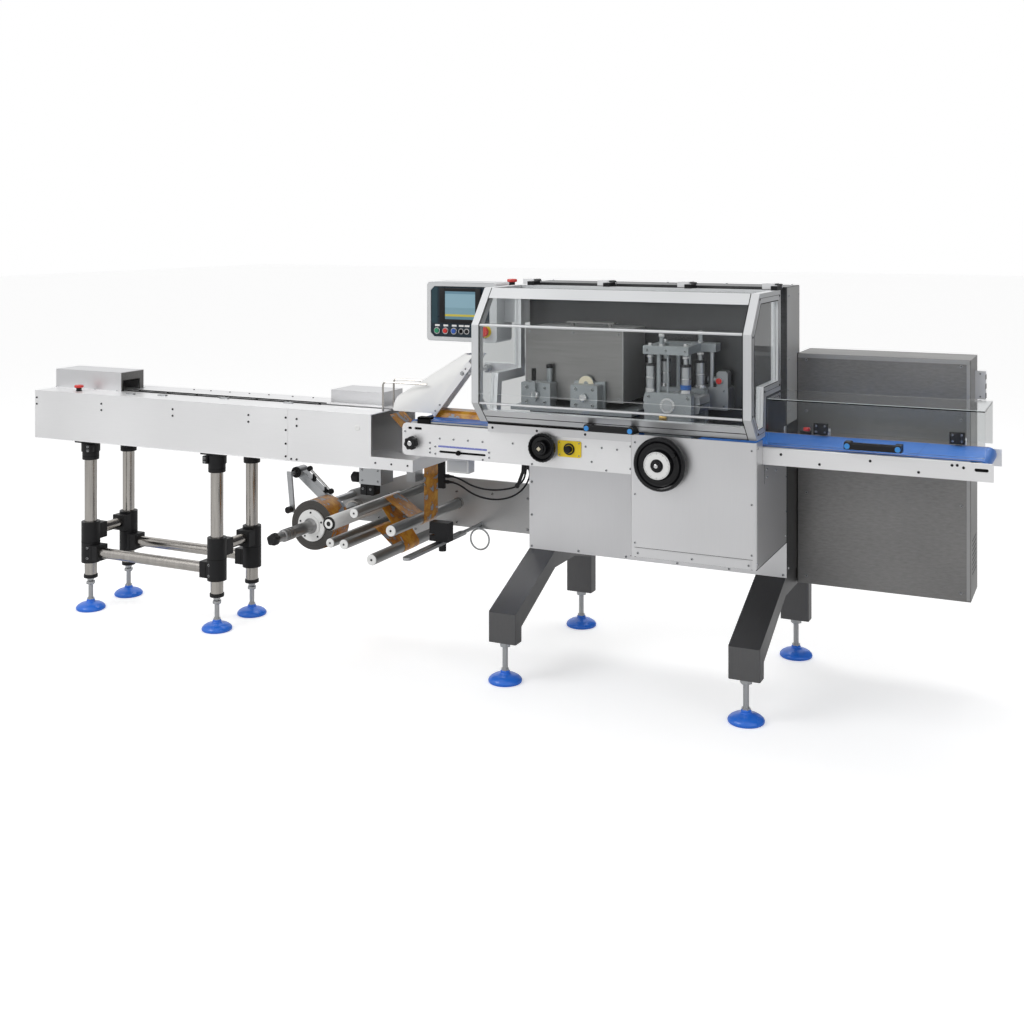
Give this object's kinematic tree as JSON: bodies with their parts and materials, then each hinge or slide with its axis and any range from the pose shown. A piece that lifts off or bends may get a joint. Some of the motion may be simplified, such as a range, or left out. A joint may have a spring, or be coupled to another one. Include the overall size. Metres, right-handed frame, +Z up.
{
  "type": "horizontal flow wrapping machine",
  "caption": "Horizontal flow wrapper with a long brushed steel infeed, a film unwind, a clear hinged hood over the sealing units and a guarded outfeed belt.",
  "frame": {"origin": "centre of the bounding box, on the floor that the feet stand on", "axes": "+X along the product's travel from infeed to outfeed, +Y from the operator's side to the back, +Z up"},
  "size_m": [3.81, 0.9478, 1.404],
  "materials": {
    "brushed_panel": "fine brushed stainless sheet",
    "dark_body": "dark grey brushed sheet",
    "cover_silver": "brushed stainless cover",
    "aluminium_frame": "satin anodised",
    "polished_tube": "polished",
    "machined_steel": "machined",
    "black_plastic": "fine grain",
    "blue_plastic": "moulded",
    "blue_belt": "smooth coated belt",
    "clear_pane": "clear sheet",
    "roller_grey": "smooth",
    "film_gold": null,
    "panel_white": "satin paint",
    "sheet_white": "smooth sheet",
    "chain_dark": "oiled"
  },
  "bodies": {
    "machine_frame": {"foot_pads": "blue_plastic", "foot_stems": "machined_steel", "leg_frames": "dark_body", "spine_housing": "dark_body", "front_trim_panels": "cover_silver", "cover_box": "cover_silver", "drive_housing": "machined_steel", "conveyor_side_plates": "brushed_panel", "conveyor_cross_members": "machined_steel", "wrap_belt": "blue_belt", "outfeed_belt": "blue_belt", "belt_beds_and_rollers": "machined_steel", "wheel_spindles": "machined_steel", "infeed_side_panels": "brushed_panel", "infeed_bottom_sheet": "brushed_panel", "infeed_top_strips": "brushed_panel", "infeed_covers": "brushed_panel", "infeed_chain_drive": "chain_dark", "infeed_support_tubes": "polished_tube", "infeed_tube_clamps": "black_plastic", "unwind_plate": "brushed_panel", "unwind_shafts": "polished_tube", "film_web": "film_gold", "hinge_blocks": "machined_steel", "seal_cover": "machined_steel", "seal_deck": "machined_steel", "seal_adjusters": "machined_steel", "crimp_end_plates": "machined_steel", "crimp_columns": "machined_steel", "crimp_yoke": "machined_steel", "hmi_box": "panel_white", "buttons_and_knobs": "black_plastic", "electrical_cabinet": "dark_body", "cable_duct": "brushed_panel", "end_tray": "brushed_panel", "tray_support": "machined_steel", "forming_plough": "sheet_white", "plough_bar": "machined_steel", "film_guide_wires": "polished_tube", "unwind_arms": "machined_steel", "sensor_blocks": "black_plastic", "sensor_cable_upper": "black_plastic", "sensor_cable_lower": "black_plastic"},
    "hood": {"hood_frame": "aluminium_frame", "hood_panes": "clear_pane", "hood_fittings": "black_plastic"},
    "outfeed_guard": {"guard_panes": "clear_pane", "guard_fittings": "black_plastic"},
    "main_wheel": {"main_handwheel": "black_plastic"},
    "small_wheel": {"small_handwheel": "black_plastic"},
    "film_reel": {"reel_hub": "machined_steel", "film_roll": "film_gold"},
    "upper_crimp": {"upper_crimp_rotor": "machined_steel"},
    "lower_crimp": {"lower_crimp_rotor": "machined_steel"},
    "roller_upper_left": {"film_roller_upper_left": "roller_grey"},
    "roller_lower_left": {"film_roller_lower_left": "roller_grey"},
    "roller_lower_middle": {"film_roller_lower_middle": "roller_grey"},
    "roller_bottom": {"film_roller_bottom": "roller_grey"},
    "roller_right": {"film_roller_right": "roller_grey"},
    "roller_top": {"film_roller_top": "roller_grey"}
  },
  "joints": [
    {"name": "hood_swing", "type": "hinge", "parent": "machine_frame", "child": "hood", "pos_m": [0.7, -0.02, 1.394], "axis": [-1, 0, 0], "range_deg": [0, 75]},
    {"name": "guard_swing", "type": "hinge", "parent": "machine_frame", "child": "outfeed_guard", "pos_m": [1.551, -0.008, 0.912], "axis": [-1, 0, 0], "range_deg": [0, 90]},
    {"name": "main_wheel_spin", "type": "hinge", "parent": "machine_frame", "child": "main_wheel", "pos_m": [0.899, -0.41, 0.829], "axis": [0, 1, 0], "continuous": true},
    {"name": "small_wheel_spin", "type": "hinge", "parent": "machine_frame", "child": "small_wheel", "pos_m": [0.446, -0.32, 0.837], "axis": [0, 1, 0], "continuous": true},
    {"name": "reel_spin", "type": "hinge", "parent": "machine_frame", "child": "film_reel", "pos_m": [-0.575, -0.148, 0.445], "axis": [0, 1, 0], "continuous": true},
    {"name": "upper_crimp_spin", "type": "hinge", "parent": "machine_frame", "child": "upper_crimp", "pos_m": [0.874, -0.148, 0.998], "axis": [0, 1, 0], "continuous": true},
    {"name": "lower_crimp_spin", "type": "hinge", "parent": "machine_frame", "child": "lower_crimp", "pos_m": [0.874, -0.148, 0.792], "axis": [0, 1, 0], "continuous": true},
    {"name": "roller_upper_left_spin", "type": "hinge", "parent": "machine_frame", "child": "roller_upper_left", "pos_m": [-0.366, -0.148, 0.513], "axis": [0, 1, 0], "continuous": true},
    {"name": "roller_lower_left_spin", "type": "hinge", "parent": "machine_frame", "child": "roller_lower_left", "pos_m": [-0.361, -0.148, 0.443], "axis": [0, 1, 0], "continuous": true},
    {"name": "roller_lower_middle_spin", "type": "hinge", "parent": "machine_frame", "child": "roller_lower_middle", "pos_m": [-0.302, -0.148, 0.444], "axis": [0, 1, 0], "continuous": true},
    {"name": "roller_bottom_spin", "type": "hinge", "parent": "machine_frame", "child": "roller_bottom", "pos_m": [-0.185, -0.148, 0.401], "axis": [0, 1, 0], "continuous": true},
    {"name": "roller_right_spin", "type": "hinge", "parent": "machine_frame", "child": "roller_right", "pos_m": [-0.105, -0.148, 0.513], "axis": [0, 1, 0], "continuous": true},
    {"name": "roller_top_spin", "type": "hinge", "parent": "machine_frame", "child": "roller_top", "pos_m": [-0.259, -0.148, 0.561], "axis": [0, 1, 0], "continuous": true}
  ],
  "couplings": [
    {"joint": "lower_crimp_spin", "follows": "upper_crimp_spin", "ratio": -1}
  ]
}
